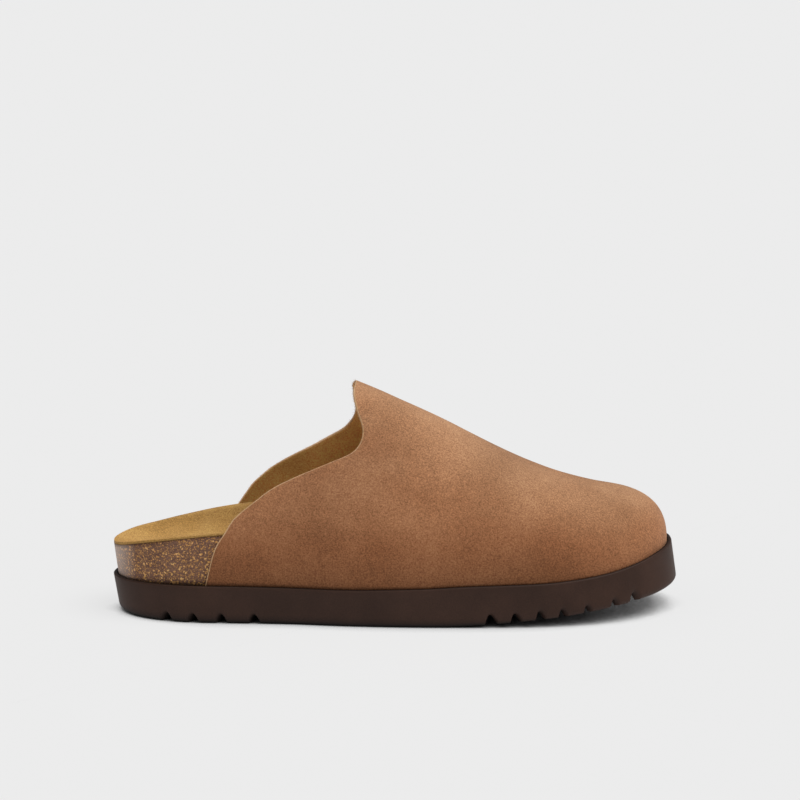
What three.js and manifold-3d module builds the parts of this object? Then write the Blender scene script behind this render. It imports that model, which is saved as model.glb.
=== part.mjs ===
// A closed-toe clog for the right foot: a rubber cup sole, a moulded cork footbed with a suede insole,
// and a one-piece suede upper with a raised point over the instep. Millimetres, +Z up, toe towards +X.
// The lateral (outer) side of the foot is -Y and the medial (inner) side is +Y.
import * as THREE from 'three';
import { mergeVertices } from 'three/addons/utils/BufferGeometryUtils.js';
import Module from 'manifold-3d';

const wasm = await Module();
wasm.setup();

// Driving sizes of the whole shoe
const LENGTH = 282; // back of the heel to the front of the toe, at the sole
const BALL_WIDTH = 97; // across the sole at the ball of the foot
const INSTEP_HEIGHT = 114.3; // floor to the point of the upper
const TOE_HEIGHT = 60; // floor to the top of the toe box
const CLEARANCE = 0.3; // between pieces that touch

// Sole
const SOLE_THICKNESS = 20; // at the ball, floor to rim
const TOE_SPRING = 13.5; // how high the front of the sole stands off the floor
const TOE_LEAD = 3.5; // the foot of the toe wall is this far ahead of its rim
const HEEL_UNDERCUT = 2.3; // the foot of the heel wall is this far ahead of its rim
const EDGE_ROUND = 2.4; // round between the side and the tread
const HEEL_LIFT = 1.4; // how high the back edge of the tread stands off the floor
const RIM_ROUND = 0.8; // round on the outer edge of the rim
const RIM_DRAFT = 0.5; // the side leans in by this from rim to tread
const RECESS = 1; // the rim stands this far above the bed that holds the cork
const GROOVE_WIDTH = 7;
const GROOVE_DEPTH = 5;
const GROOVE_POWER = 0.95; // a lower power makes a groove's top blunter

// Upper
const WALL = 2; // thickness of the suede
const LEDGE = 2.2; // rim that shows outside the upper

// Footbed
const HEEL_EDGE = 35; // floor to the top of the footbed at the back of the heel
const INSOLE_THICKNESS = 1.2;
const HEEL_FLARE = 2; // the back of the cork leans out by this
const BED_INSET = LEDGE + CLEARANCE; // foot of the cork, in from the rim
const TOE_LEAN = 5; // the front of the cork leans back by this for each heel edge's rise
const TOE_LEAN_START = 0.7; // share of the footbed where that lean starts

const RIM_LENGTH = LENGTH - TOE_LEAD;
const HALF_BALL = BALL_WIDTH / 2;
const HEEL_LIFT_LENGTH = 0.07 * LENGTH; // from the back of the heel to where the tread meets the floor
const HEEL_ROUND = 0.16 * LENGTH; // length of the round end of the plan at the heel
const TOE_ROUND = 0.3 * LENGTH;
const HEEL_POWER = 2;
const TOE_POWER = 2.3;
const TOE_BOX_ROUND = 36; // length of the round front of the toe box
const TOE_BOX_POWER = 2.5;
const SPRING_START = 0.55; // share of the length where the sole leaves the floor
const SPRING_POWER = 1.6;

const LATERAL = -1;
const MEDIAL = 1;

// Plan of the rim, by share of its length: the middle line and half width are shares of half the ball width
const PLAN = [
  { along: 0.0, middle: 0.0, half: 0.68 },
  { along: 0.1, middle: -0.005, half: 0.69 },
  { along: 0.2, middle: -0.025, half: 0.71 },
  { along: 0.31, middle: -0.06, half: 0.735 },
  { along: 0.4, middle: -0.085, half: 0.8 },
  { along: 0.5, middle: -0.07, half: 0.88 },
  { along: 0.6, middle: -0.025, half: 0.955 },
  { along: 0.7, middle: 0.01, half: 1.0 },
  { along: 0.8, middle: 0.025, half: 1.005 },
  { along: 0.9, middle: 0.06, half: 1.0 },
  { along: 1.0, middle: 0.12, half: 1.0 },
];

// Thickness of the sole at its side, as a share of the thickness at the ball
const SIDE = [
  { along: 0.0, thickness: 0.93 },
  { along: 0.2, thickness: 0.93 },
  { along: 0.33, thickness: 0.915 },
  { along: 0.42, thickness: 0.91 },
  { along: 0.52, thickness: 0.95 },
  { along: 0.62, thickness: 0.985 },
  { along: 0.7, thickness: 0.94 },
  { along: 0.78, thickness: 0.87 },
  { along: 0.87, thickness: 0.84 },
  { along: 0.93, thickness: 0.89 },
  { along: 0.97, thickness: 0.96 },
  { along: 1.0, thickness: 1.0 },
];

// Sections of the upper. ridge: how far the ridge lies to the medial side, as a share of half the ball width.
// top: height of the ridge line as a share of the instep height behind the ball, before the toe is rounded off.
// bulge: how far the side swells past its foot, in shares of the wall. side, crown: fullness of the two bends.
const UPPER = [
  { along: 0.0, ridge: 0.03, top: 1.46, bulge: 1.0, side: 0.5, crown: 0.58 },
  { along: 0.16, ridge: 0.03, top: 1.3, bulge: 1.0, side: 0.5, crown: 0.58 },
  { along: 0.3, ridge: 0.03, top: 1.14, bulge: 1.0, side: 0.51, crown: 0.58 },
  { along: 0.434, ridge: 0.03, top: 1.0, bulge: 0.9, side: 0.52, crown: 0.58 },
  { along: 0.5, ridge: 0.035, top: 0.928, bulge: 0.8, side: 0.53, crown: 0.59 },
  { along: 0.567, ridge: 0.045, top: 0.851, bulge: 0.7, side: 0.54, crown: 0.6 },
  { along: 0.635, ridge: 0.06, top: 0.764, bulge: 0.6, side: 0.56, crown: 0.61 },
  { along: 0.7, ridge: 0.07, top: 0.681, bulge: 0.5, side: 0.57, crown: 0.62 },
  { along: 0.755, ridge: 0.08, top: 0.618, bulge: 0.5, side: 0.58, crown: 0.62 },
  { along: 0.81, ridge: 0.09, top: 0.568, bulge: 0.5, side: 0.59, crown: 0.62 },
  { along: 0.865, ridge: 0.1, top: 0.535, bulge: 0.5, side: 0.59, crown: 0.62 },
  { along: 0.91, ridge: 0.11, top: 0.524, bulge: 0.5, side: 0.59, crown: 0.62 },
  { along: 1.0, ridge: 0.12, top: 0.522, bulge: 0.5, side: 0.59, crown: 0.62 },
];

// Edge of the collar on each side, from the rim up to the point: height as a share of the instep height,
// and distance from the heel as a share of the rim length
const COLLAR = {
  [LATERAL]: [
    { height: 0.15, along: 0.166 },
    { height: 0.26, along: 0.177 },
    { height: 0.33, along: 0.186 },
    { height: 0.395, along: 0.203 },
    { height: 0.457, along: 0.2195 },
    { height: 0.526, along: 0.2535 },
    { height: 0.587, along: 0.287 },
    { height: 0.628, along: 0.3205 },
    { height: 0.664, along: 0.354 },
    { height: 0.697, along: 0.387 },
    { height: 0.73, along: 0.42 },
    { height: 0.75, along: 0.432 },
    { height: 0.78, along: 0.441 },
    { height: 0.823, along: 0.445 },
    { height: 0.868, along: 0.4415 },
    { height: 0.912, along: 0.435 },
    { height: 0.948, along: 0.431 },
    { height: 0.98, along: 0.4302 },
    { height: 1.0, along: 0.434 },
  ],
  [MEDIAL]: [
    { height: 0.15, along: 0.176 },
    { height: 0.26, along: 0.187 },
    { height: 0.34, along: 0.204 },
    { height: 0.41, along: 0.2225 },
    { height: 0.455, along: 0.235 },
    { height: 0.502, along: 0.249 },
    { height: 0.542, along: 0.2665 },
    { height: 0.577, along: 0.284 },
    { height: 0.627, along: 0.3185 },
    { height: 0.671, along: 0.3535 },
    { height: 0.72, along: 0.388 },
    { height: 0.751, along: 0.409 },
    { height: 0.783, along: 0.4225 },
    { height: 0.82, along: 0.4315 },
    { height: 0.858, along: 0.4347 },
    { height: 0.9, along: 0.4345 },
    { height: 0.948, along: 0.431 },
    { height: 0.98, along: 0.4302 },
    { height: 1.0, along: 0.434 },
  ],
};

// Top of the footbed above the bed of the sole: its two edges and its middle, as shares of the back edge's rise
const BED = [
  { along: 0.0, lateral: 1.0, middle: 1.0, medial: 1.0 },
  { along: 0.035, lateral: 1.17, middle: 0.88, medial: 1.1 },
  { along: 0.075, lateral: 1.3, middle: 0.86, medial: 1.19 },
  { along: 0.13, lateral: 1.43, middle: 0.88, medial: 1.36 },
  { along: 0.2, lateral: 1.54, middle: 0.95, medial: 1.58 },
  { along: 0.27, lateral: 1.57, middle: 1.02, medial: 1.72 },
  { along: 0.37, lateral: 1.34, middle: 1.02, medial: 1.7 },
  { along: 0.48, lateral: 1.0, middle: 0.87, medial: 1.28 },
  { along: 0.6, lateral: 0.74, middle: 0.66, medial: 0.84 },
  { along: 0.72, lateral: 0.66, middle: 0.6, medial: 0.68 },
  { along: 0.86, lateral: 0.62, middle: 0.58, medial: 0.62 },
  { along: 1.0, lateral: 0.55, middle: 0.55, medial: 0.55 },
];
const BED_DISH = 2.4; // how flat the middle of the footbed is across the foot

// Grooves across the tread, by share of the length; size is a share of the groove width and depth
const GROOVES = [
  { along: 0.095, size: 0.85 },
  { along: 0.1415, size: 0.85 },
  { along: 0.191, size: 0.85 },
  { along: 0.249, size: 0.85 },
  { along: 0.662, size: 0.95 },
  { along: 0.705, size: 0.85 },
  { along: 0.748, size: 0.8 },
  { along: 0.787, size: 0.7 },
  { along: 0.831, size: 0.65 },
  { along: 0.88, size: 0.7 },
  { along: 0.9165, size: 0.85 },
];

// How finely the curved faces are cut
const SOLE_STATIONS = 40;
const BED_STATIONS = 30;
const BED_ACROSS = 10;
const UPPER_STATIONS = 34;
const UPPER_AROUND = 14;
const ROUND_STEPS = 3;
const GROOVE_STEPS = 8;
const SOLVE_STEPS = 40;
const MERGE_DISTANCE = 0.001; // points closer than this are one

// Smooth curve through one column of a table, by the column that the rows are ordered by
function readTable(rows, column, at, order = 'along') {
  const last = rows.length - 1;
  if (at <= rows[0][order]) return rows[0][column];
  if (at >= rows[last][order]) return rows[last][column];
  let i = 0;
  while (rows[i + 1][order] < at) i += 1;
  const slope = (a, b) => (rows[b][column] - rows[a][column]) / (rows[b][order] - rows[a][order]);
  const gap = rows[i + 1][order] - rows[i][order];
  const t = (at - rows[i][order]) / gap;
  const start = i > 0 ? slope(i - 1, i + 1) : slope(i, i + 1);
  const end = i + 1 < last ? slope(i, i + 2) : slope(i, i + 1);
  const ease = t * t * (3 - 2 * t);
  return (
    rows[i][column] * (1 - ease) +
    rows[i + 1][column] * ease +
    start * gap * t * (1 - t) * (1 - t) -
    end * gap * t * t * (1 - t)
  );
}

// Rises from 0 at the tip of a round end to 1 where the round meets the straight part
function roundEnd(share, power) {
  if (share >= 1) return 1;
  return (1 - (1 - Math.max(share, 0)) ** power) ** (1 / power);
}

// Share from 0 to 1, packed closer together towards both ends
const easedShare = (i, count) => (1 - Math.cos((Math.PI * i) / count)) / 2;

// Plan of the rim, taken in by inset on every side
function planY(x, side, inset) {
  const along = x / RIM_LENGTH;
  const width = readTable(PLAN, 'half', along) * HALF_BALL - inset;
  const heel = roundEnd((x - inset) / (HEEL_ROUND - inset), HEEL_POWER);
  const toe = roundEnd((RIM_LENGTH - inset - x) / (TOE_ROUND - inset), TOE_POWER);
  return readTable(PLAN, 'middle', along) * HALF_BALL + side * width * heel * toe;
}

// Height of the tread above the floor towards the toe
function spring(x) {
  const rise = (x / LENGTH - SPRING_START) / (1 - SPRING_START);
  return rise > 0 ? TOE_SPRING * rise ** SPRING_POWER : 0;
}

// Height of the tread above the floor, with the lift at the back of the heel
const tread = (x) => spring(x) + HEEL_LIFT * Math.max(1 - x / HEEL_LIFT_LENGTH, 0) ** 2;

// How far the foot of the sole's wall lies ahead of the rim
const lead = (x) => HEEL_UNDERCUT + ((TOE_LEAD - HEEL_UNDERCUT) * x) / RIM_LENGTH;

const thickness = (x) => readTable(SIDE, 'thickness', x / RIM_LENGTH) * SOLE_THICKNESS;
const rimHeight = (x) => thickness(x) + spring(x + lead(x));
const bedHeight = (x) => rimHeight(x) - RECESS;
const footHeight = (x) => bedHeight(x) + CLEARANCE;

// Ridge of the upper, rounded off over the toe down to the foot of the wall
const UPPER_TIP = RIM_LENGTH - LEDGE;
function ridgeHeight(x) {
  const behind = readTable(UPPER, 'top', x / RIM_LENGTH);
  const toeShare = readTable(UPPER, 'top', 1);
  const ballShare = (behind - toeShare) / (1 - toeShare);
  const line = TOE_HEIGHT + (INSTEP_HEIGHT - TOE_HEIGHT) * ballShare;
  const tip = footHeight(UPPER_TIP);
  return tip + (line - tip) * roundEnd((UPPER_TIP - x) / TOE_BOX_ROUND, TOE_BOX_POWER);
}

// Shares of the four corner points of one smooth bend
function bernstein(t) {
  const s = 1 - t;
  return [s * s * s, 3 * s * s * t, 3 * s * t * t, t * t * t];
}

// A point of the upper's outer face: around goes from 0 at the sole to 1 on the ridge
function upperPoint(x, side, around) {
  const along = x / RIM_LENGTH;
  const foot = { y: planY(x, side, LEDGE), z: footHeight(x) };
  const ridge = { y: readTable(UPPER, 'ridge', along) * HALF_BALL, z: ridgeHeight(x) };
  const nose = roundEnd((UPPER_TIP - x) / TOE_BOX_ROUND, TOE_BOX_POWER);
  ridge.y = ridge.y * nose + planY(UPPER_TIP, side, LEDGE) * (1 - nose);
  const swell = side * readTable(UPPER, 'bulge', along) * WALL * nose;
  const rise = readTable(UPPER, 'side', along) * (ridge.z - foot.z);
  const crown = readTable(UPPER, 'crown', along) * (ridge.y - foot.y);
  const [a, b, c, d] = bernstein(around);
  return new THREE.Vector3(
    x,
    a * foot.y + b * (foot.y + swell) + c * (ridge.y - crown) + d * ridge.y,
    a * foot.z + b * (foot.z + rise) + c * ridge.z + d * ridge.z,
  );
}

// The root of a function that falls through zero between low and high
function solve(f, low, high) {
  for (let i = 0; i < SOLVE_STEPS; i += 1) {
    const middle = (low + high) / 2;
    if (f(middle) > 0) low = middle;
    else high = middle;
  }
  return (low + high) / 2;
}

// Where the collar's edge crosses one line of the upper
function collarX(side, around) {
  return solve(
    (x) => {
      const height = upperPoint(x, side, around).z / INSTEP_HEIGHT;
      return readTable(COLLAR[side], 'along', height, 'height') * RIM_LENGTH - x;
    },
    0,
    LENGTH / 2,
  );
}

// The upper's outer face at one height above the foot of the wall
function upperY(x, side, z) {
  const around = solve((t) => z - upperPoint(x, side, t).z, 0, 1);
  return upperPoint(x, side, around).y;
}

// Closed mesh from points and triangles; points that fall together are one, and flat triangles go
function meshOf(points, triangles) {
  const raw = new THREE.BufferGeometry();
  raw.setAttribute('position', new THREE.Float32BufferAttribute(points.flatMap((p) => p.toArray()), 3));
  raw.setIndex(triangles.flat());
  const merged = mergeVertices(raw, MERGE_DISTANCE);
  const index = merged.index.array;
  const kept = [];
  for (let i = 0; i < index.length; i += 3) {
    const [a, b, c] = index.slice(i, i + 3);
    if (a !== b && b !== c && c !== a) kept.push(a, b, c);
  }
  merged.setIndex(kept);
  return merged;
}

// Skin over loops of equal length, one for each station; the first and last have no area of their own.
// The halves of a loop are split along opposite diagonals, so that facing layers match.
function loftLoops(loops) {
  const size = loops[0].length;
  const triangles = [];
  for (let i = 0; i + 1 < loops.length; i += 1) {
    for (let j = 0; j < size; j += 1) {
      const a = i * size + j;
      const b = i * size + ((j + 1) % size);
      if (j < size / 2) triangles.push([a, b, a + size], [b, b + size, a + size]);
      else triangles.push([a, b, b + size], [a, b + size, a + size]);
    }
  }
  return meshOf(loops.flat(), triangles);
}

function toManifold(geometry) {
  return new wasm.Manifold(
    new wasm.Mesh({
      numProp: 3,
      vertProperties: geometry.getAttribute('position').array,
      triVerts: new Uint32Array(geometry.index.array),
    }),
  );
}

function fromManifold(solid) {
  const mesh = solid.getMesh();
  const geometry = new THREE.BufferGeometry();
  geometry.setAttribute('position', new THREE.BufferAttribute(mesh.vertProperties, 3));
  geometry.setIndex(new THREE.BufferAttribute(mesh.triVerts, 1));
  geometry.computeVertexNormals();
  return geometry;
}

function bareSolid(geometry) {
  geometry.deleteAttribute('normal');
  geometry.deleteAttribute('uv');
  return toManifold(mergeVertices(geometry, MERGE_DISTANCE));
}

// One corner of the sole's section, by how far it lies in from the rim and down from it
function solePoint(share, side, inset, down) {
  const x = inset + share * (RIM_LENGTH - 2 * inset);
  const drop = down / thickness(x);
  const y = planY(x, side, inset);
  return new THREE.Vector3(x + lead(x) * drop, y, rimHeight(x) - (rimHeight(x) - tread(x + lead(x))) * drop);
}

// Corners of the sole's section on one side, from the bed in the recess round to the tread
function soleSection(share, side) {
  const corners = [
    { inset: LEDGE - CLEARANCE, down: RECESS },
    { inset: LEDGE - CLEARANCE, down: 0 },
  ];
  for (let i = 0; i <= ROUND_STEPS; i += 1) {
    const turn = (Math.PI / 2) * (i / ROUND_STEPS);
    corners.push({ inset: RIM_ROUND * (1 - Math.sin(turn)), down: RIM_ROUND * (1 - Math.cos(turn)) });
  }
  const full = thickness(share * RIM_LENGTH);
  for (let i = 0; i <= ROUND_STEPS; i += 1) {
    const turn = (Math.PI / 2) * (i / ROUND_STEPS);
    corners.push({
      inset: RIM_DRAFT + EDGE_ROUND * (1 - Math.cos(turn)),
      down: full - EDGE_ROUND * (1 - Math.sin(turn)),
    });
  }
  return corners.map((c) => solePoint(share, side, c.inset, c.down));
}

// Arched bar that cuts one groove across the tread, square to the slope of the sole there
function grooveCutter(groove) {
  const x = groove.along * LENGTH;
  const half = (GROOVE_WIDTH * groove.size) / 2;
  const deep = GROOVE_DEPTH * groove.size;
  const foot = -GROOVE_DEPTH;
  const arch = new THREE.Shape();
  arch.moveTo(-half, foot);
  for (let i = 0; i <= GROOVE_STEPS; i += 1) {
    const across = -1 + (2 * i) / GROOVE_STEPS;
    arch.lineTo(half * across, deep * Math.cos((Math.PI / 2) * across) ** GROOVE_POWER);
  }
  arch.lineTo(half, foot);
  const bar = new THREE.ExtrudeGeometry(arch, { depth: 2 * BALL_WIDTH, bevelEnabled: false });
  bar.rotateX(Math.PI / 2);
  bar.translate(0, BALL_WIDTH, 0);
  bar.rotateY(-Math.atan2(spring(x + half) - spring(x - half), 2 * half));
  bar.translate(x, 0, spring(x));
  return bareSolid(bar);
}

function outsole() {
  const loops = [];
  for (let i = 0; i <= SOLE_STATIONS; i += 1) {
    const share = easedShare(i, SOLE_STATIONS);
    loops.push([...soleSection(share, LATERAL), ...soleSection(share, MEDIAL).reverse()]);
  }
  let solid = toManifold(loftLoops(loops));
  for (const groove of GROOVES) solid = solid.subtract(grooveCutter(groove));
  return fromManifold(solid);
}

// From 0 at the bare back of the heel to 1 where the upper covers the cork
function covered(x) {
  const t = Math.min(Math.max(x / (COLLAR[LATERAL][0].along * RIM_LENGTH), 0), 1);
  return t * t * (3 - 2 * t);
}

const BED_RISE = HEEL_EDGE - bedHeight(0);

// Finished top of the footbed above the bed: across goes from -1 at the lateral edge to 1 at the medial edge
function bedRise(share, across) {
  const edge = readTable(BED, across < 0 ? 'lateral' : 'medial', share);
  const middle = readTable(BED, 'middle', share);
  return BED_RISE * (middle + (edge - middle) * Math.abs(across) ** BED_DISH);
}

// How far the edge of the footbed lies in from the rim at one rise above the bed
function bedInset(share, rise) {
  const toe = Math.max((share - TOE_LEAN_START) / (1 - TOE_LEAN_START), 0);
  return BED_INSET + WALL + (TOE_LEAN * toe * rise) / BED_RISE;
}

// Edge of the footbed: flared out at the bare heel, inside the upper ahead of it, leaning back at the toe
function bedPoint(share, side, rise) {
  const flare = HEEL_FLARE * Math.min(rise / BED_RISE, 1);
  const back = BED_INSET - flare;
  const x = back + share * (RIM_LENGTH - bedInset(1, rise) - back);
  const z = bedHeight(x) + rise;
  const middle = readTable(PLAN, 'middle', x / RIM_LENGTH) * HALF_BALL;
  if (share === 0 || share === 1) return new THREE.Vector3(x, middle, z);
  const cover = covered(x);
  const edge = planY(x, side, back * (1 - cover) + bedInset(share, rise) * cover);
  if (cover < 1) return new THREE.Vector3(x, edge, z);
  const inside = upperY(x, side, z) - side * (WALL + CLEARANCE);
  return new THREE.Vector3(x, side * Math.min(side * edge, side * inside), z);
}

// Row of points across a surface that is given by its rise; the edge's rise says how far out the row reaches
function bedRow(share, surface, edge) {
  const from = bedPoint(share, LATERAL, edge(share, LATERAL));
  const to = bedPoint(share, MEDIAL, edge(share, MEDIAL));
  const points = [];
  for (let j = 0; j <= BED_ACROSS; j += 1) {
    const p = from.clone().lerp(to, j / BED_ACROSS);
    points.push(p.setZ(bedHeight(p.x) + surface(share, (2 * j) / BED_ACROSS - 1)));
  }
  return points;
}

// Layer between two rows at each station along the foot
function bedLayer(under, over) {
  const loops = [];
  for (let i = 0; i <= BED_STATIONS; i += 1) {
    const share = easedShare(i, BED_STATIONS);
    loops.push([...under(share), ...over(share).reverse()]);
  }
  return loftLoops(loops);
}

const below = (depth) => (share, across) => bedRise(share, across) - depth;

function footbed() {
  return bedLayer(
    (share) => bedRow(share, () => CLEARANCE, () => CLEARANCE),
    (share) => bedRow(share, below(INSOLE_THICKNESS + CLEARANCE), bedRise),
  );
}

function insole() {
  return bedLayer(
    (share) => bedRow(share, below(INSOLE_THICKNESS), bedRise),
    (share) => bedRow(share, bedRise, bedRise),
  );
}

// Rows of the upper's outer face, from the lateral foot over the ridge to the medial foot
function upperFace() {
  const rows = [];
  const line = (side, around) => {
    const start = collarX(side, around);
    const row = [];
    for (let i = 0; i <= UPPER_STATIONS; i += 1) {
      const share = Math.sin(((Math.PI / 2) * i) / UPPER_STATIONS);
      row.push(upperPoint(start + (UPPER_TIP - start) * share, side, around));
    }
    return row;
  };
  for (let j = 0; j <= UPPER_AROUND; j += 1) rows.push(line(LATERAL, j / UPPER_AROUND));
  for (let j = UPPER_AROUND - 1; j >= 0; j -= 1) rows.push(line(MEDIAL, j / UPPER_AROUND));
  return rows;
}

// The face again, one wall thickness further in; its foot stays level with the outer foot
function innerFace(rows) {
  const last = UPPER_STATIONS;
  return rows.map((row, j) =>
    row.map((point, i) => {
      if (i === last) return new THREE.Vector3(point.x - WALL, point.y, footHeight(point.x - WALL));
      const alongRow = rows[j][i + 1].clone().sub(rows[j][Math.max(i - 1, 0)]);
      const acrossRows = rows[Math.min(j + 1, rows.length - 1)][i].clone().sub(rows[Math.max(j - 1, 0)][i]);
      const normal = acrossRows.cross(alongRow);
      const atFoot = j === 0 || j === rows.length - 1;
      if (atFoot) normal.z = 0;
      const inner = point.clone().addScaledVector(normal.normalize(), WALL);
      if (atFoot) inner.z = footHeight(inner.x);
      return inner;
    }),
  );
}

function upper() {
  const outer = upperFace();
  const inner = innerFace(outer);
  const loops = outer[0].map((_, i) => [
    ...outer.map((row) => row[i]),
    ...inner.map((row) => row[i]).reverse(),
  ]);
  const size = loops[0].length;
  const half = outer.length;
  const triangles = [];
  for (let i = 0; i + 1 < loops.length; i += 1) {
    for (let j = 0; j < size; j += 1) {
      const a = i * size + j;
      const b = i * size + ((j + 1) % size);
      triangles.push([a, b + size, b], [a, a + size, b + size]);
    }
  }
  for (let j = 0; j + 1 < half; j += 1) {
    const [a, b, c, d] = [j, j + 1, size - 2 - j, size - 1 - j];
    triangles.push([a, b, c], [a, c, d]);
  }
  return meshOf(loops.flat(), triangles);
}

function piece(name, geometry, colour, roughness) {
  geometry.computeVertexNormals();
  const material = new THREE.MeshStandardMaterial({ color: colour, roughness, metalness: 0 });
  const mesh = new THREE.Mesh(geometry, material);
  mesh.name = name;
  return mesh;
}

const shoe = new THREE.Group();
shoe.add(piece('outsole', outsole(), 0x3a2b26, 0.6));
shoe.add(piece('footbed', footbed(), 0x6e5548, 0.85));
shoe.add(piece('insole', insole(), 0xb58a4c, 0.95));
shoe.add(piece('upper', upper(), 0x9a6f4d, 0.95));

// The origin is on the floor, under the middle of the shoe's length and width
const bounds = new THREE.Box3().setFromObject(shoe);
shoe.position.set(-(bounds.min.x + bounds.max.x) / 2, -(bounds.min.y + bounds.max.y) / 2, -bounds.min.z);
const clog = new THREE.Group();
clog.add(shoe);

export default clog;
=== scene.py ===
import math
import random

import bpy
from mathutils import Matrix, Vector, noise


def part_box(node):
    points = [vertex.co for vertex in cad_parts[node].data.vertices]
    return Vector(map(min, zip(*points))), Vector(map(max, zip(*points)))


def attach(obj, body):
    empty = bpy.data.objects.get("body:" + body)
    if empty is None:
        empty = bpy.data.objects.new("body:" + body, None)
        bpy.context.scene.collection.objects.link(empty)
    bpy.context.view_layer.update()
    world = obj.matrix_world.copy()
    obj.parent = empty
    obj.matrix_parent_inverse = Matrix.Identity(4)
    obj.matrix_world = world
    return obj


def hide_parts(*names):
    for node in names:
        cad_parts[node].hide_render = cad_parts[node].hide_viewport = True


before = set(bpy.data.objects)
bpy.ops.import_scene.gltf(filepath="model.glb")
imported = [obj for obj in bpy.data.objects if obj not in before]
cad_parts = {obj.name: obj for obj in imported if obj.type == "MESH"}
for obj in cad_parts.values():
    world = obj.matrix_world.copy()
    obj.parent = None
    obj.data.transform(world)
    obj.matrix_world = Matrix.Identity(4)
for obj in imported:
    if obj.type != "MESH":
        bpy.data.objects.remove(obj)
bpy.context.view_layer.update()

# Sizes of the shoe in millimetres; x runs from the back of the heel rim to the toe
LENGTH = 282
BALL_WIDTH = 97
INSTEP_HEIGHT = 114.3
TOE_HEIGHT = 60
CLEARANCE = 0.3
SOLE_THICKNESS = 20
TOE_SPRING = 13.5
TOE_LEAD = 3.5
HEEL_UNDERCUT = 2.3
EDGE_ROUND = 2.4
HEEL_LIFT = 1.4
RIM_ROUND = 0.8
RIM_DRAFT = 0.5
RECESS = 1
GROOVE_WIDTH = 7
GROOVE_DEPTH = 5
GROOVE_POWER = 0.95
WALL = 2
LEDGE = 2.2
HEEL_EDGE = 35
INSOLE_THICKNESS = 1.2
HEEL_FLARE = 2
BED_INSET = LEDGE + CLEARANCE
TOE_LEAN = 5
TOE_LEAN_START = 0.7
RIM_LENGTH = LENGTH - TOE_LEAD
HALF_BALL = BALL_WIDTH / 2
HEEL_LIFT_LENGTH = 0.07 * LENGTH
HEEL_ROUND = 0.16 * LENGTH
TOE_ROUND = 0.3 * LENGTH
HEEL_POWER = 2
TOE_POWER = 2.3
TOE_BOX_ROUND = 36
TOE_BOX_POWER = 2.5
SPRING_START = 0.55
SPRING_POWER = 1.6
BED_DISH = 2.4
LATERAL, MEDIAL = -1, 1
MM = 0.001

# How finely the pieces are made
PLAN_SAMPLES = 400
SOLVE_STEPS = 30
SOLE_STATIONS = 150
GROOVE_ROWS = 9
ROUND_STEPS = 5
BED_STATIONS = 130
FOOTBED_ACROSS = 24
FOOTBED_SIDE_STEPS = 8
INSOLE_ACROSS = 30
INSOLE_EDGE_STEPS = 4
AROUND = 60
STATIONS = 150
EDGE_STEPS = 6

# along, middle, half
PLAN = [
    (0.0, 0.0, 0.68), (0.1, -0.005, 0.69), (0.2, -0.025, 0.71), (0.31, -0.06, 0.735), (0.4, -0.085, 0.8),
    (0.5, -0.07, 0.88), (0.6, -0.025, 0.955), (0.7, 0.01, 1.0), (0.8, 0.025, 1.005), (0.9, 0.06, 1.0),
    (1.0, 0.12, 1.0),
]
# along, thickness
SIDE = [
    (0.0, 0.93), (0.2, 0.93), (0.33, 0.915), (0.42, 0.91), (0.52, 0.95), (0.62, 0.985), (0.7, 0.94),
    (0.78, 0.87), (0.87, 0.84), (0.93, 0.89), (0.97, 0.96), (1.0, 1.0),
]
# along, ridge, top, bulge, side, crown
UPPER = [
    (0.0, 0.03, 1.46, 1.0, 0.5, 0.58), (0.16, 0.03, 1.3, 1.0, 0.5, 0.58), (0.3, 0.03, 1.14, 1.0, 0.51, 0.58),
    (0.434, 0.03, 1.0, 0.9, 0.52, 0.58), (0.5, 0.035, 0.928, 0.8, 0.53, 0.59),
    (0.567, 0.045, 0.851, 0.7, 0.54, 0.6), (0.635, 0.06, 0.764, 0.6, 0.56, 0.61),
    (0.7, 0.07, 0.681, 0.5, 0.57, 0.62), (0.755, 0.08, 0.618, 0.5, 0.58, 0.62),
    (0.81, 0.09, 0.568, 0.5, 0.59, 0.62), (0.865, 0.1, 0.535, 0.5, 0.59, 0.62),
    (0.91, 0.11, 0.524, 0.5, 0.59, 0.62), (1.0, 0.12, 0.522, 0.5, 0.59, 0.62),
]
# height, along
COLLAR = {
    LATERAL: [
        (0.15, 0.166), (0.26, 0.177), (0.33, 0.186), (0.395, 0.203), (0.457, 0.2195), (0.526, 0.2535),
        (0.587, 0.287), (0.628, 0.3205), (0.664, 0.354), (0.697, 0.387), (0.73, 0.42), (0.75, 0.432),
        (0.78, 0.441), (0.823, 0.445), (0.868, 0.4415), (0.912, 0.435), (0.948, 0.431), (0.98, 0.4302),
        (1.0, 0.434),
    ],
    MEDIAL: [
        (0.15, 0.176), (0.26, 0.187), (0.34, 0.204), (0.41, 0.2225), (0.455, 0.235), (0.502, 0.249),
        (0.542, 0.2665), (0.577, 0.284), (0.627, 0.3185), (0.671, 0.3535), (0.72, 0.388), (0.751, 0.409),
        (0.783, 0.4225), (0.82, 0.4315), (0.858, 0.4347), (0.9, 0.4345), (0.948, 0.431), (0.98, 0.4302),
        (1.0, 0.434),
    ],
}
# along, lateral, middle, medial
BED = [
    (0.0, 1.0, 1.0, 1.0), (0.035, 1.17, 0.88, 1.1), (0.075, 1.3, 0.86, 1.19), (0.13, 1.43, 0.88, 1.36),
    (0.2, 1.54, 0.95, 1.58), (0.27, 1.57, 1.02, 1.72), (0.37, 1.34, 1.02, 1.7), (0.48, 1.0, 0.87, 1.28),
    (0.6, 0.74, 0.66, 0.84), (0.72, 0.66, 0.6, 0.68), (0.86, 0.62, 0.58, 0.62), (1.0, 0.55, 0.55, 0.55),
]
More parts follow.
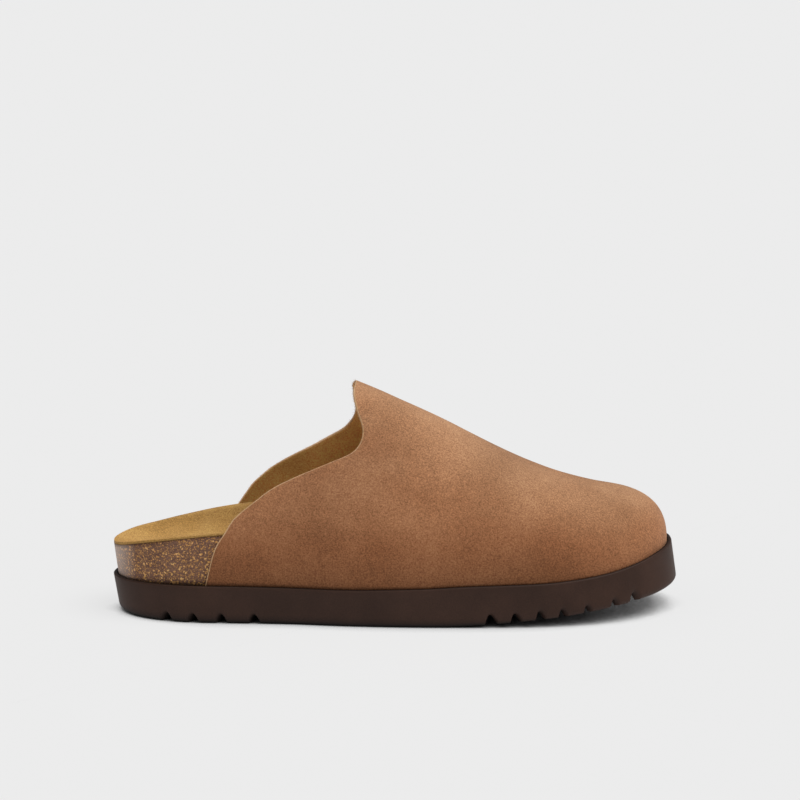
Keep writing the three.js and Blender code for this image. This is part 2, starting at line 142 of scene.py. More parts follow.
# along, size
GROOVES = [
    (0.095, 0.85), (0.1415, 0.85), (0.191, 0.85), (0.249, 0.85), (0.662, 0.95), (0.705, 0.85), (0.748, 0.8),
    (0.787, 0.7), (0.831, 0.65), (0.88, 0.7), (0.9165, 0.85),
]


def read(rows, column, at):
    """Smooth curve through one column of a table, by its first column."""
    if at <= rows[0][0]:
        return rows[0][column]
    last = len(rows) - 1
    if at >= rows[last][0]:
        return rows[last][column]
    i = 0
    while rows[i + 1][0] < at:
        i += 1

    def slope(a, b):
        return (rows[b][column] - rows[a][column]) / (rows[b][0] - rows[a][0])

    gap = rows[i + 1][0] - rows[i][0]
    t = (at - rows[i][0]) / gap
    start = slope(i - 1, i + 1) if i > 0 else slope(i, i + 1)
    end = slope(i, i + 2) if i + 1 < last else slope(i, i + 1)
    ease = t * t * (3 - 2 * t)
    return (
        rows[i][column] * (1 - ease) + rows[i + 1][column] * ease
        + start * gap * t * (1 - t) ** 2 - end * gap * t * t * (1 - t)
    )


def round_end(share, power):
    if share >= 1:
        return 1.0
    return (1 - (1 - max(share, 0)) ** power) ** (1 / power)


def eased(i, count):
    return (1 - math.cos(math.pi * i / count)) / 2


def plan_y(x, side, inset):
    width = read(PLAN, 2, x / RIM_LENGTH) * HALF_BALL - inset
    heel = round_end((x - inset) / (HEEL_ROUND - inset), HEEL_POWER)
    toe = round_end((RIM_LENGTH - inset - x) / (TOE_ROUND - inset), TOE_POWER)
    return read(PLAN, 1, x / RIM_LENGTH) * HALF_BALL + side * width * heel * toe


def spring(x):
    rise = (x / LENGTH - SPRING_START) / (1 - SPRING_START)
    return TOE_SPRING * rise ** SPRING_POWER if rise > 0 else 0.0


def tread(x):
    return spring(x) + HEEL_LIFT * max(1 - x / HEEL_LIFT_LENGTH, 0) ** 2


def lead(x):
    return HEEL_UNDERCUT + (TOE_LEAD - HEEL_UNDERCUT) * x / RIM_LENGTH


def thickness(x):
    return read(SIDE, 1, x / RIM_LENGTH) * SOLE_THICKNESS


def rim_height(x):
    return thickness(x) + spring(x + lead(x))


def bed_height(x):
    return rim_height(x) - RECESS


def foot_height(x):
    return bed_height(x) + CLEARANCE


UPPER_TIP = RIM_LENGTH - LEDGE
BED_RISE = HEEL_EDGE - bed_height(0)


def ridge_height(x):
    toe_share = read(UPPER, 2, 1)
    share = (read(UPPER, 2, x / RIM_LENGTH) - toe_share) / (1 - toe_share)
    line = TOE_HEIGHT + (INSTEP_HEIGHT - TOE_HEIGHT) * share
    tip = foot_height(UPPER_TIP)
    return tip + (line - tip) * round_end((UPPER_TIP - x) / TOE_BOX_ROUND, TOE_BOX_POWER)


def upper_point(x, side, around):
    along = x / RIM_LENGTH
    foot_y, foot_z = plan_y(x, side, LEDGE), foot_height(x)
    top = ridge_height(x)
    nose = round_end((UPPER_TIP - x) / TOE_BOX_ROUND, TOE_BOX_POWER)
    ridge = read(UPPER, 1, along) * HALF_BALL * nose + plan_y(UPPER_TIP, side, LEDGE) * (1 - nose)
    swell = side * read(UPPER, 3, along) * WALL * nose
    rise = read(UPPER, 4, along) * (top - foot_z)
    crown = read(UPPER, 5, along) * (ridge - foot_y)
    s, t = 1 - around, around
    a, b, c, d = s * s * s, 3 * s * s * t, 3 * s * t * t, t * t * t
    return Vector((
        x, a * foot_y + b * (foot_y + swell) + c * (ridge - crown) + d * ridge,
        a * foot_z + b * (foot_z + rise) + (c + d) * top,
    ))


def solve(f, low, high):
    for _ in range(SOLVE_STEPS):
        middle = (low + high) / 2
        if f(middle) > 0:
            low = middle
        else:
            high = middle
    return (low + high) / 2


def collar_x(side, around):
    def over(x):
        return read(COLLAR[side], 1, upper_point(x, side, around).z / INSTEP_HEIGHT) * RIM_LENGTH - x
    return solve(over, 0, LENGTH / 2)


def upper_y(x, side, z):
    around = solve(lambda t: z - upper_point(x, side, t).z, 0, 1)
    return upper_point(x, side, around).y


def covered(x):
    t = min(max(x / (COLLAR[LATERAL][0][1] * RIM_LENGTH), 0), 1)
    return t * t * (3 - 2 * t)


def bed_rise(share, across):
    edge = read(BED, 1 if across < 0 else 3, share)
    middle = read(BED, 2, share)
    return BED_RISE * (middle + (edge - middle) * abs(across) ** BED_DISH)


def bed_inset(share, rise):
    toe = max((share - TOE_LEAN_START) / (1 - TOE_LEAN_START), 0)
    return BED_INSET + WALL + TOE_LEAN * toe * rise / BED_RISE


def bed_point(share, side, rise):
    flare = HEEL_FLARE * min(rise / BED_RISE, 1)
    back = BED_INSET - flare
    x = back + share * (RIM_LENGTH - bed_inset(1, rise) - back)
    z = bed_height(x) + rise
    if share in (0, 1):
        return Vector((x, read(PLAN, 1, x / RIM_LENGTH) * HALF_BALL, z))
    cover = covered(x)
    edge = plan_y(x, side, back * (1 - cover) + bed_inset(share, rise) * cover)
    if cover < 1:
        return Vector((x, edge, z))
    inside = upper_y(x, side, z) - side * (WALL + CLEARANCE)
    return Vector((x, side * min(side * edge, side * inside), z))


def sole_point(x, side, inset, down):
    drop = down / thickness(x)
    y = plan_y(x, side, inset)
    return Vector((x + lead(x) * drop, y, rim_height(x) - (rim_height(x) - tread(x + lead(x))) * drop))


# The origin is under the middle of the shoe's box, as in the CAD
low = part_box("outsole")[0]
widest = min(plan_y(RIM_LENGTH * i / PLAN_SAMPLES, LATERAL, 0) for i in range(PLAN_SAMPLES + 1))
SHIFT = Vector((low[0] * 1000, low[1] * 1000 - widest, 0))


def shaded(name, points, faces, materials, kinds=None):
    """Smooth mesh object from points in millimetres."""
    mesh = bpy.data.meshes.new(name)
    mesh.from_pydata([(p + SHIFT) * MM for p in points], [], faces)
    for m in materials:
        mesh.materials.append(m)
    if kinds:
        mesh.polygons.foreach_set("material_index", kinds)
    mesh.polygons.foreach_set("use_smooth", [True] * len(mesh.polygons))
    mesh.validate()
    obj = bpy.data.objects.new(name, mesh)
    bpy.context.scene.collection.objects.link(obj)
    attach(obj, "root")
    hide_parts(name)
    return obj


def skin(loops, closed=True):
    """Quads over loops of equal length."""
    size = len(loops[0])
    faces = []
    for i in range(len(loops) - 1):
        for j in range(size if closed else size - 1):
            a, b = i * size + j, i * size + (j + 1) % size
            faces.append((a, b, b + size, a + size))
    return faces


def groove(x):
    """Height of the groove in the tread under x."""
    deep = 0.0
    for along, size in GROOVES:
        across = (x - along * LENGTH) / (GROOVE_WIDTH * size / 2)
        if abs(across) < 1:
            deep = max(deep, GROOVE_DEPTH * size * math.cos(math.pi / 2 * across) ** GROOVE_POWER)
    return deep


BED_REACH = 4  # how far the bed in the recess runs in under the upper
LIP_ROUND = 0.15  # inner edge of the rim
TREAD_ROWS = (0.3, 2)  # rows of the tread inside its rounded edge, which keep its shading flat


def sole_section(x, steps):
    """Corners from the bed in the recess round to the tread, with rows along the side."""
    lip = LEDGE - CLEARANCE
    corners = [(LEDGE + BED_REACH, RECESS), (lip, RECESS), (lip, LIP_ROUND), (lip - LIP_ROUND, 0)]
    for i in range(steps + 1):
        turn = math.pi / 2 * i / steps
        corners.append((RIM_ROUND * (1 - math.sin(turn)), RIM_ROUND * (1 - math.cos(turn))))
    full = thickness(x) - groove(x + lead(x))
    start, end = RIM_ROUND, full - EDGE_ROUND
    for i in range(1, steps):
        t = i / steps
        corners.append((RIM_DRAFT * t, start + (end - start) * t))
    for i in range(steps + 1):
        turn = math.pi / 2 * i / steps
        inset = RIM_DRAFT + EDGE_ROUND * (1 - math.cos(turn))
        corners.append((inset, full - EDGE_ROUND * (1 - math.sin(turn))))
    return corners + [(RIM_DRAFT + EDGE_ROUND + extra, full) for extra in TREAD_ROWS]


def build_outsole():
    stations = {eased(i, SOLE_STATIONS) * RIM_LENGTH for i in range(SOLE_STATIONS + 1)}
    for along, size in GROOVES:
        centre = along * LENGTH
        centre -= lead(centre)
        half = GROOVE_WIDTH * size / 2
        stations |= {centre + half * k / GROOVE_ROWS for k in range(-GROOVE_ROWS - 2, GROOVE_ROWS + 3)}
    stations = sorted(stations)
    loops = []
    for station in stations:
        share = station / RIM_LENGTH
        loop = []
        corners = sole_section(station, ROUND_STEPS)
        for side in (LATERAL, MEDIAL):
            half = []
            for inset, down in corners:
                half.append(sole_point(inset + share * (RIM_LENGTH - 2 * inset), side, inset, down))
            loop += half if side == LATERAL else half[::-1]
        loops.append(loop)
    points = [p for loop in loops for p in loop]
    return shaded("outsole", points, skin(loops), [rubber()])


def bed_row(share, depth, edge, across, base=None):
    from_edge, to_edge = (bed_point(share, s, edge(share, s)) for s in (LATERAL, MEDIAL))
    row = []
    for j in range(across + 1):
        p = from_edge.lerp(to_edge, j / across)
        rise = base if base is not None else bed_rise(share, 2 * j / across - 1) - depth
        p.z = bed_height(p.x) + rise
        row.append(p)
    return row


def under_edge(share, side):
    return CLEARANCE


def build_footbed():
    top = INSOLE_THICKNESS + CLEARANCE
    steps = FOOTBED_SIDE_STEPS
    loops = []
    for i in range(BED_STATIONS + 1):
        share = eased(i, BED_STATIONS)
        under = bed_row(share, 0, under_edge, FOOTBED_ACROSS, CLEARANCE)
        over = bed_row(share, top, bed_rise, FOOTBED_ACROSS)
        ends = []
        for side in (MEDIAL, LATERAL):
            column = []
            limit = bed_rise(share, side) - top
            for k in range(1, steps):
                rise = CLEARANCE + (limit - CLEARANCE) * k / steps
                full = bed_rise(share, side)
                p = bed_point(share, side, full * rise / limit)
                p.z = bed_height(p.x) + rise
                column.append(p)
            ends.append(column)
        loops.append(under + ends[0] + over[::-1] + ends[1][::-1])
    points = [p for loop in loops for p in loop]
    return shaded("footbed", points, skin(loops), [cork()])


EDGE_SWELL = 0.35  # how far the insole's edge bulges out
FULL_SWELL = 5  # half width of the insole from which the edge bulges in full


def build_insole():
    steps = INSOLE_EDGE_STEPS
    loops = []
    for i in range(BED_STATIONS + 1):
        share = eased(i, BED_STATIONS)
        under = bed_row(share, INSOLE_THICKNESS, bed_rise, INSOLE_ACROSS)
        over = bed_row(share, 0, bed_rise, INSOLE_ACROSS)
        half = (under[-1] - under[0]).length / 2
        ends = []
        for side, low_p, high_p in ((MEDIAL, under[-1], over[-1]), (LATERAL, under[0], over[0])):
            column = []
            for k in range(steps + 1):
                turn = math.pi * k / steps
                p = low_p.lerp(high_p, (1 - math.cos(turn)) / 2)
                p.y += side * EDGE_SWELL * math.sin(turn) * min(half / FULL_SWELL, 1)
                column.append(p)
            ends.append(column)
        loops.append(under[1:-1] + ends[0] + over[1:-1][::-1] + ends[1][::-1])
    points = [p for loop in loops for p in loop]
    return shaded("insole", points, skin(loops), [suede_insole()])


def crease(x, side, around):
    """Soft troughs and swells of the suede, outward in millimetres."""
    out = 0.0
    for where, cx, ca, along_axis, length, width, depth in CREASES:
        if where != side:
            continue
        dx, da = x - cx, (around - ca) * 100
        c, s = math.cos(along_axis), math.sin(along_axis)
        u, v = dx * c + da * s, -dx * s + da * c
        out += depth * math.exp(-((u / length) ** 2) - (v / width) ** 2)
    p = Vector((x * 0.02, side * 3 + around * 2.2, 0.3))
    out += 0.45 * noise.noise(p) + 0.15 * noise.noise(p * 3.1)
    return out


# side, x, around, direction, length, width, height: where the suede gives below the collar
CREASES = [
    (LATERAL, 112, 0.62, 0.5, 16, 3.2, -0.7),
    (LATERAL, 117, 0.55, 0.45, 18, 4.0, 0.5),
    (LATERAL, 124, 0.72, 0.9, 14, 4.0, -0.6),
    (LATERAL, 128, 0.5, 0.2, 20, 5.0, -0.5),
    (MEDIAL, 114, 0.64, 0.5, 16, 3.5, -0.6),
    (MEDIAL, 126, 0.55, 0.3, 18, 5.0, -0.5),
]


ROLL = 0.5  # the rounded raw edge stands out from its faces by this
FOOT_FADE = 0.25  # share of the way round over which the swells start
TIP_FADE = 20  # length over which they end before the toe's tip


def upper_faces():
    """Rows of the outer and inner faces, from the lateral foot over the ridge to the medial foot."""
    rows = []
    order = [(LATERAL, j / AROUND) for j in range(AROUND + 1)]
    order += [(MEDIAL, j / AROUND) for j in range(AROUND - 1, -1, -1)]
    for side, around in order:
        start = collar_x(side, around) + ROLL
        row = []
        for i in range(STATIONS + 1):
            share = math.sin(math.pi / 2 * i / STATIONS)
            row.append(upper_point(start + (UPPER_TIP - start) * share, side, around))
        rows.append(row)
    count = len(rows)
    inner = []
    moved = []
    for j, (side, around) in enumerate(order):
        inner_row, outer_row = [], []
        for i in range(STATIONS + 1):
            p = rows[j][i]
            if i == STATIONS:
                inner_row.append(Vector((p.x - WALL, p.y, foot_height(p.x - WALL))))
                outer_row.append(p)
                continue
            along = rows[j][i + 1] - rows[j][max(i - 1, 0)]
            across = rows[min(j + 1, count - 1)][i] - rows[max(j - 1, 0)][i]
            normal = across.cross(along)
            at_foot = j in (0, count - 1)
            if at_foot:
                normal.z = 0
            normal.normalize()
            fade = min(around / FOOT_FADE, 1) * min((UPPER_TIP - p.x) / TIP_FADE, 1)
            swell = crease(p.x, side, around) * fade
            q = p + normal * WALL
            if at_foot:
                q.z = foot_height(q.x)
            inner_row.append(q - normal * swell)
            outer_row.append(p - normal * swell)
        inner.append(inner_row)
        moved.append(outer_row)
    return moved, inner, count


EDGE_BULGE = 0.55  # how far the raw edge is rounded out, as a share of half its thickness
EDGE_ROUGH = 0.12


def edge_rows(outer, inner, steps):
    """Rounded raw edge between the outer and inner faces at the collar."""
    rim = []
    for j in range(len(outer)):
        o, q = outer[j][0], inner[j][0]
        out = (outer[j][0] - outer[j][1]).normalized()
        centre, radius = (o + q) / 2, (o - q) / 2
        loop = []
        for k in range(1, steps):
            turn = math.pi * k / steps
            rough = EDGE_ROUGH * noise.noise(Vector((j * 0.9, k * 1.7, 4)))
            bulge = radius.length * EDGE_BULGE * math.sin(turn) + rough
            loop.append(centre + radius * math.cos(turn) + out * bulge)
        rim.append(loop)
    return rim


# Materials of the upper's faces
OUTSIDE, INSIDE, EDGE = range(3)


def build_upper():
    outer, inner, count = upper_faces()
    steps = EDGE_STEPS
    rim = edge_rows(outer, inner, steps)
    points, faces, kinds = [], [], []
    index = {}

    def add(key, p):
        index[key] = len(points)
        points.append(p)

    for j in range(count):
        for i in range(STATIONS + 1):
            add(("o", j, i), outer[j][i])
            add(("i", j, i), inner[j][i])
        for k in range(1, steps):
            add(("r", j, k), rim[j][k - 1])

    def ring(j, k):
        if k == 0:
            return index["o", j, 0]
        if k == steps:
            return index["i", j, 0]
        return index["r", j, k]

    for j in range(count - 1):
        for i in range(STATIONS):
            faces.append([index["o", *at] for at in ((j, i), (j, i + 1), (j + 1, i + 1), (j + 1, i))])
            kinds.append(OUTSIDE)
            faces.append([index["i", *at] for at in ((j, i), (j + 1, i), (j + 1, i + 1), (j, i + 1))])
            kinds.append(INSIDE)
        for k in range(steps):
            faces.append([ring(j, k), ring(j + 1, k), ring(j + 1, k + 1), ring(j, k + 1)])
            kinds.append(EDGE)
    for j, flip in ((0, False), (count - 1, True)):
        for i in range(STATIONS):
            face = [index["o", j, i], index["i", j, i], index["i", j, i + 1], index["o", j, i + 1]]
            faces.append(face[::-1] if flip else face)
            kinds.append(OUTSIDE)
        face = [ring(j, k) for k in range(steps + 1)]
        faces.append(face if not flip else face[::-1])
        kinds.append(EDGE)
    fibres(points, faces, kinds, outer, inner)
    return shaded("upper", points, faces, [suede(), suede_inner(), raw_edge()], kinds)


FIBRE_COUNT = 1500
FIBRE_HALF_WIDTH = 0.035
FIBRE_ROOT = 0.3  # how far out of the raw edge a fibre starts
SHORT_FIBRE = (0.5, 1.3)
LONG_FIBRE = (1.5, 3)
SHORT_SHARE = 0.96
FIBRE_LEAN = 0.8


def fibres(points, faces, kinds, outer, inner):
    """Short stray fibres standing off the raw edge."""
    rng = random.Random(5)
    for _ in range(FIBRE_COUNT):
        j = rng.randrange(1, len(outer) - 1)
        t = rng.random()
        o, q = outer[j][0].lerp(outer[j + 1][0], t), inner[j][0].lerp(inner[j + 1][0], t)
        out = (outer[j][0] - outer[j][1]).normalized()
        root = o.lerp(q, rng.random()) + out * FIBRE_ROOT
        length = rng.uniform(*SHORT_FIBRE) if rng.random() < SHORT_SHARE else rng.uniform(*LONG_FIBRE)
        lean = Vector((rng.uniform(-1, 1), rng.uniform(-1, 1), rng.uniform(-1, 1))) * FIBRE_LEAN
        tip = root + (out + lean).normalized() * length
        wide = (tip - root).cross(Vector((0.3, 1, 0.2))).normalized() * FIBRE_HALF_WIDTH
        base = len(points)
        points.extend([root - wide, root + wide, tip])
        faces.append([base, base + 1, base + 2])
        kinds.append(EDGE)


def new_material(name, roughness):
    material = bpy.data.materials.new(name)
    material.use_nodes = True
    tree = material.node_tree
    shader = tree.nodes["Principled BSDF"]
    shader.inputs["Roughness"].default_value = roughness
    return material, tree, shader


def speck(tree, scale, detail=2.0, rough=0.5, kind="ShaderNodeTexNoise"):
    """Noise in the shoe's own millimetres: scale is features a millimetre."""
    coordinates = tree.nodes.new("ShaderNodeTexCoord")
    made = tree.nodes.new(kind)
    made.inputs["Scale"].default_value = scale * 1000
    if kind == "ShaderNodeTexNoise":
        made.inputs["Detail"].default_value = detail
        made.inputs["Roughness"].default_value = rough
    tree.links.new(coordinates.outputs["Object"], made.inputs["Vector"])
    return made


def ramp(tree, source, stops):
    made = tree.nodes.new("ShaderNodeValToRGB")
    while len(made.color_ramp.elements) < len(stops):
        made.color_ramp.elements.new(0.5)
    for element, (at, colour) in zip(made.color_ramp.elements, stops):
        element.position = at
        element.color = (*colour, 1)
    tree.links.new(source, made.inputs["Fac"])
    return made.outputs["Color"]


def mixed(tree, a, b, amount, blend="MIX"):
    made = tree.nodes.new("ShaderNodeMix")
    made.data_type = "RGBA"
    made.blend_type = blend
    for socket, value in ((made.inputs["Factor"], amount), (made.inputs["A"], a), (made.inputs["B"], b)):
        if isinstance(value, bpy.types.NodeSocket):
            tree.links.new(value, socket)
        else:
            socket.default_value = value if isinstance(value, (int, float)) else (*value, 1)
    return made.outputs["Result"]


def bump(tree, shader, source, strength, distance):
    made = tree.nodes.new("ShaderNodeBump")
    made.inputs["Strength"].default_value = strength
    made.inputs["Distance"].default_value = distance * MM
    tree.links.new(source, made.inputs["Height"])
    tree.links.new(made.outputs["Normal"], shader.inputs["Normal"])


def rgb(r, g, b):
    """Screen colour as light."""
    return tuple((c / 255 / 12.92) if c <= 10 else ((c / 255 + 0.055) / 1.055) ** 2.4 for c in (r, g, b))


def maths(tree, operation, a, b=0.0):
    made = tree.nodes.new("ShaderNodeMath")
    made.operation = operation
    for socket, value in zip(made.inputs, (a, b)):
        if isinstance(value, bpy.types.NodeSocket):
            tree.links.new(value, socket)
        else:
            socket.default_value = value
    return made.outputs[0]


def place(tree):
    """The shoe's own x, y and z, in metres."""
    made = tree.nodes.new("ShaderNodeSeparateXYZ")
    tree.links.new(tree.nodes.new("ShaderNodeTexCoord").outputs["Object"], made.inputs[0])
    return made.outputs


def facing_up(tree):
    """1 where the surface faces up, 0 where it stands upright."""
    made = tree.nodes.new("ShaderNodeSeparateXYZ")
    tree.links.new(tree.nodes.new("ShaderNodeTexCoord").outputs["Normal"], made.inputs[0])
    return made.outputs[2]


def nook(tree, reach, power):
    """1 in the open, towards 0 where something stands within reach, in millimetres."""
    made = tree.nodes.new("ShaderNodeAmbientOcclusion")
    made.samples = 8
    made.inputs["Distance"].default_value = reach * MM
    return maths(tree, "POWER", made.outputs["AO"], power)


def grey(v):
    return (v, v, v)


def napped(name, light, mid, dark, sheen, grain=1.0, shade=None):
    """Suede: cloudy patches where the nap lies one way or the other, fine speckle and a soft sheen."""
    material, tree, shader = new_material(name, 0.95)
    clouds = speck(tree, 0.028, 3, 0.55).outputs["Fac"]
    patches = ramp(tree, clouds, [(0.36, dark), (0.52, mid), (0.68, light)])
    small = ramp(tree, speck(tree, 0.16, 3, 0.6).outputs["Fac"], [(0.3, grey(0.46)), (0.7, grey(0.54))])
    fine = ramp(tree, speck(tree, 1.35, 3, 0.8).outputs["Fac"], [(0.34, grey(0.28)), (0.66, grey(0.72))])
    colour = mixed(tree, patches, small, 0.8, "OVERLAY")
    colour = mixed(tree, colour, fine, grain, "OVERLAY")
    if shade:
        colour = mixed(tree, colour, shade(tree), 1.0, "MULTIPLY")
    tree.links.new(colour, shader.inputs["Base Color"])
    shader.inputs["Sheen Weight"].default_value = sheen
    shader.inputs["Sheen Roughness"].default_value = 0.5
    shader.inputs["Sheen Tint"].default_value = (0.9, 0.75, 0.62, 1)
    shader.inputs["Specular IOR Level"].default_value = 0.15
    height = mixed(tree, speck(tree, 1.2, 3, 0.7).outputs["Fac"], speck(tree, 0.5, 2).outputs["Fac"], 0.3)
    bump(tree, shader, height, 0.5, 0.4)
    return material


# x, height, reach and strength: broad soft shades painted on the suede's sides, placed by hand
SHADES = [
    (-12, 84, 26, -0.19),
    (-42, 62, 24, -0.12),
    (50, 74, 20, -0.15),
    (110, 50, 14, -0.09),
]


def squared_from(tree, value, centre, reach):
    """Square of the distance from a centre, in reaches; centre and reach are in millimetres."""
    away = maths(tree, "MULTIPLY", maths(tree, "SUBTRACT", value, centre * MM), 1 / (reach * MM))
    return maths(tree, "POWER", maths(tree, "ABSOLUTE", away), 2)


def painted_light_on_suede(tree):
    """Painted light on the suede: painted shade that makes it darker and warmer towards the sole and lighter
    towards the toe, a painted highlight where it faces up, and broad soft painted shades on the sides.
    """
    x, _, z = place(tree)
    ahead = maths(tree, "MAXIMUM", maths(tree, "SUBTRACT", x, 0.02))
    rim = maths(tree, "ADD", maths(tree, "MULTIPLY", ahead, 0.12), 0.0186)
    above = maths(tree, "MULTIPLY", maths(tree, "SUBTRACT", z, rim), 10)
    toe = maths(tree, "MULTIPLY", maths(tree, "MAXIMUM", maths(tree, "SUBTRACT", x, 0.07)), 5)
    # painted shade: darker and warmer towards the sole, lighter towards the toe
    low = ramp(tree, maths(tree, "ADD", above, toe), [
        (0.0, (0.42, 0.37, 0.33)), (0.1, (0.52, 0.455, 0.41)), (0.2, (0.62, 0.55, 0.5)),
        (0.35, (0.84, 0.82, 0.8)), (0.6, grey(0.93)), (1.0, grey(1.0)),
    ])
    # painted highlight: paler where the suede faces up
    up = ramp(tree, facing_up(tree), [(0.35, (0.93, 0.82, 0.76)), (0.9, grey(1))])
    colour = mixed(tree, low, up, 1.0, "MULTIPLY")
    shade = 1.0
    for at, height, reach, strength in SHADES:
        across = squared_from(tree, x, at, reach)
        upward = squared_from(tree, z, height, reach)
        fall = maths(tree, "EXPONENT", maths(tree, "MULTIPLY", maths(tree, "ADD", across, upward), -1))
        shade = maths(tree, "MULTIPLY", shade, maths(tree, "ADD", maths(tree, "MULTIPLY", fall, strength), 1))
    return mixed(tree, colour, shade, 1.0, "MULTIPLY")


def painted_shade_on_insole(tree):
    """Painted shade on the insole: darker where it runs in under the upper, and where it does not face up."""
    x = place(tree)[0]
    under_upper = maths(tree, "ADD", maths(tree, "MULTIPLY", x, 7), 1)
    front = ramp(tree, under_upper, [(0.0, grey(1)), (0.6, grey(0.8)), (1, grey(0.66))])
    edge = ramp(tree, facing_up(tree), [(0.8, grey(0.8)), (0.97, grey(1))])
    return mixed(tree, front, edge, 1.0, "MULTIPLY")


def suede():
    tones = rgb(201, 152, 113), rgb(191, 142, 104), rgb(181, 132, 95)
    return napped("suede", *tones, 0.14, 1.0, painted_light_on_suede)


def painted_shade_inside(tree):
    """Painted shade inside the suede: darker low down at the back of the collar, where the collar shades it.
    """
    ahead = maths(tree, "ADD", maths(tree, "MULTIPLY", place(tree)[0], 18), 1.36)
    return ramp(tree, ahead, [(0.0, grey(0.45)), (1, grey(1))])


def suede_inner():
    # tones paler than the inside's own colour, as painted light on the inside that the collar shades
    tones = rgb(244, 188, 112), rgb(230, 175, 102), rgb(212, 159, 90)
    return napped("suede_inner", *tones, 0.1, 1.0, painted_shade_inside)


def raw_edge():
    # paler than the faces, as a raw edge is, and made paler still as painted light where the edge faces away
    # from the lamps
    tones = rgb(222, 186, 146), rgb(206, 166, 124), rgb(188, 146, 104)
    return napped("raw_edge", *tones, 0.2, 0.8)


def suede_insole():
    tones = rgb(206, 162, 96), rgb(196, 151, 86), rgb(184, 140, 76)
    return napped("suede_insole", *tones, 0.15, 1.0, painted_shade_on_insole)


def granules(tree, scale, stops):
    """Cork granules, each with a tone of its own."""
    grain = speck(tree, scale, kind="ShaderNodeTexVoronoi")
    split = tree.nodes.new("ShaderNodeSeparateColor")
    tree.links.new(grain.outputs["Color"], split.inputs["Color"])
    return ramp(tree, split.outputs[0], stops)


def cork():
    material, tree, shader = new_material("cork", 0.8)
    fine_flecks = granules(tree, 2.3, [
        (0.0, rgb(92, 64, 54)), (0.4, rgb(116, 84, 69)), (0.74, rgb(134, 98, 80)),
        (0.84, rgb(170, 122, 74)), (0.95, rgb(206, 152, 88)),
    ])
    big_flecks = granules(tree, 1.25, [
        (0.0, rgb(98, 70, 58)), (0.5, rgb(120, 88, 72)), (0.88, rgb(128, 94, 76)),
        (0.91, rgb(196, 142, 78)), (0.97, rgb(230, 178, 112)),
    ])
    fine = ramp(tree, speck(tree, 1.6, 3, 0.7).outputs["Fac"], [(0.3, grey(0.3)), (0.7, grey(0.7))])
    cloud = ramp(tree, speck(tree, 0.07, 2).outputs["Fac"], [(0.35, grey(0.42)), (0.65, grey(0.58))])
    colour = mixed(tree, fine_flecks, big_flecks, 1.0, "LIGHTEN")
    colour = mixed(tree, colour, fine, 0.6, "OVERLAY")
    colour = mixed(tree, colour, cloud, 0.7, "OVERLAY")
    # painted reflection: the back end of the heel's cork is mixed towards near white, for the light it
    # catches at its curved back
    from_heel = maths(tree, "MULTIPLY", maths(tree, "ADD", place(tree)[0], 0.1405), 80)
    painted_reflection = ramp(tree, from_heel, [(0, grey(0.5)), (1, grey(0))])
    colour = mixed(tree, colour, rgb(250, 236, 228), painted_reflection)
    tree.links.new(colour, shader.inputs["Base Color"])
    shader.inputs["Specular IOR Level"].default_value = 0.3
    edges = speck(tree, 1.3, kind="ShaderNodeTexVoronoi")
    edges.feature = "DISTANCE_TO_EDGE"
    low_edge = ramp(tree, edges.outputs["Distance"], [(0.0, grey(0)), (0.12, grey(1))])
    height = mixed(tree, low_edge, speck(tree, 1.6, 3, 0.7).outputs["Fac"], 0.5)
    bump(tree, shader, height, 0.5, 0.3)
    return material


def rubber():
    material, tree, shader = new_material("rubber", 0.55)
    clouds = speck(tree, 0.05, 3).outputs["Fac"]
    cloud = ramp(tree, clouds, [(0.35, rgb(54, 36, 28)), (0.65, rgb(62, 42, 33))])
    fine = ramp(tree, speck(tree, 1.5, 3, 0.6).outputs["Fac"], [(0.3, grey(0.4)), (0.7, grey(0.6))])
    colour = mixed(tree, cloud, fine, 0.6, "OVERLAY")
    x = place(tree)[0]
    to_toe = maths(tree, "MULTIPLY", maths(tree, "SUBTRACT", x, 0.06), 12)
    toe = ramp(tree, to_toe, [(0, grey(0.5)), (1, grey(0.56))])
    colour = mixed(tree, colour, toe, 1.0, "OVERLAY")
    # painted shade: near black in the grooves and in the joint with the upper, where something stands close
    # by
    colour = mixed(tree, grey(0.004), colour, nook(tree, 5, 1.6))
    tree.links.new(colour, shader.inputs["Base Color"])
    shader.inputs["Specular IOR Level"].default_value = 0.18
    bump(tree, shader, speck(tree, 1.8, 3, 0.6).outputs["Fac"], 0.35, 0.2)
    return material


build_outsole()
build_footbed()
build_insole()
build_upper()
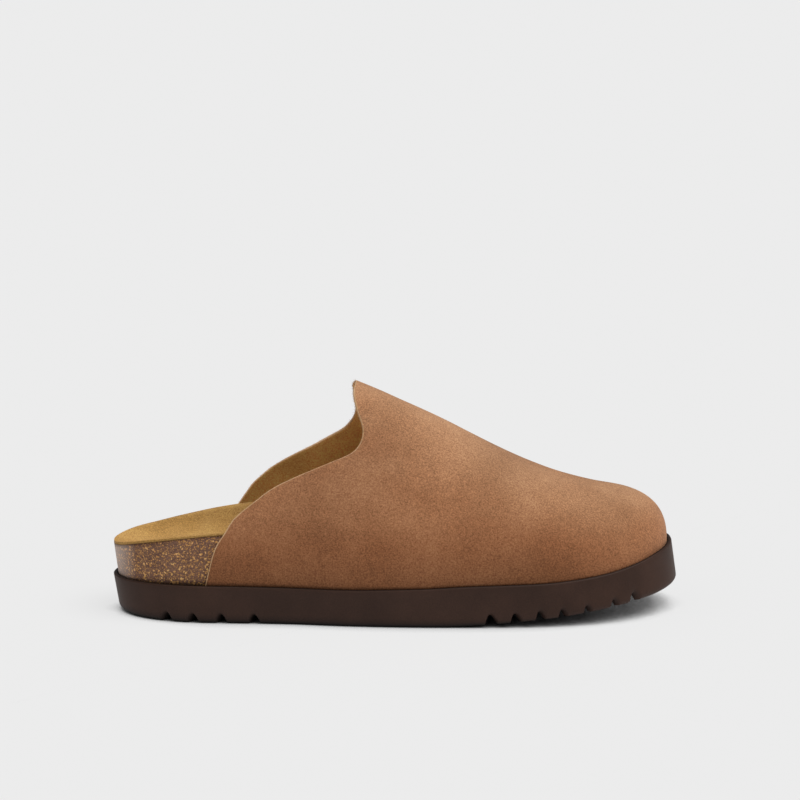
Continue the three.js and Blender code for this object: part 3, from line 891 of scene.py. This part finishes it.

# The floor glows evenly, with a painted contact shadow where the shoe stands close over it
CONTACT_REACH = 22
FLOOR_GLOW = 0.706
floor_mesh = bpy.data.meshes.new("floor")
FAR = 30
floor_mesh.from_pydata([(-FAR, -FAR, 0), (FAR, -FAR, 0), (FAR, FAR, 0), (-FAR, FAR, 0)], [], [(0, 1, 2, 3)])
floor = bpy.data.objects.new("floor", floor_mesh)
bpy.context.scene.collection.objects.link(floor)
floor_material, floor_tree, floor_shader = new_material("floor", 1.0)
floor_shader.inputs["Base Color"].default_value = (0.14, 0.14, 0.14, 1)
floor_shader.inputs["Emission Color"].default_value = (1, 1, 1, 1)
openness = nook(floor_tree, CONTACT_REACH, 1)
under = ramp(floor_tree, openness, [(0.15, grey(0)), (0.38, grey(0.22)), (0.6, grey(1))])
glow = maths(floor_tree, "MULTIPLY", under, FLOOR_GLOW)
floor_tree.links.new(glow, floor_shader.inputs["Emission Strength"])
floor_shader.inputs["Specular IOR Level"].default_value = 0
floor_mesh.materials.append(floor_material)

world = bpy.data.worlds.new("world")
bpy.context.scene.world = world
world.use_nodes = True
world.node_tree.nodes["Background"].inputs["Color"].default_value = (1, 1, 1, 1)
world.node_tree.nodes["Background"].inputs["Strength"].default_value = 0.3


def sun(name, azimuth, elevation, strength, angle):
    """Soft light from a direction: azimuth 0 is behind the camera's side, -Y, and turns towards +X."""
    light = bpy.data.lights.new(name, "SUN")
    light.energy = strength
    light.angle = math.radians(angle)
    obj = bpy.data.objects.new(name, light)
    a, e = math.radians(azimuth), math.radians(elevation)
    from_way = Vector((math.sin(a) * math.cos(e), -math.cos(a) * math.cos(e), math.sin(e)))
    obj.rotation_euler = from_way.to_track_quat("Z", "Y").to_euler()
    bpy.context.scene.collection.objects.link(obj)


sun("key", 62, 64, 2.15, 50)
sun("fill", -60, 45, 0.1, 60)

AIM = Vector((0.0022, 0, 0.1043))
ELEVATION = math.radians(10.3)
AZIMUTH = math.radians(-1.5)
DISTANCE = 1.55
camera_data = bpy.data.cameras.new("camera")
camera_data.lens = 141
camera_data.sensor_width = 36
camera = bpy.data.objects.new("camera", camera_data)
way = Vector((
    math.sin(AZIMUTH) * math.cos(ELEVATION), -math.cos(AZIMUTH) * math.cos(ELEVATION), math.sin(ELEVATION),
))
camera.location = AIM + way * DISTANCE
camera.rotation_euler = way.to_track_quat("Z", "Y").to_euler()
bpy.context.scene.collection.objects.link(camera)
bpy.context.scene.camera = camera
bpy.context.scene.view_settings.view_transform = "Standard"
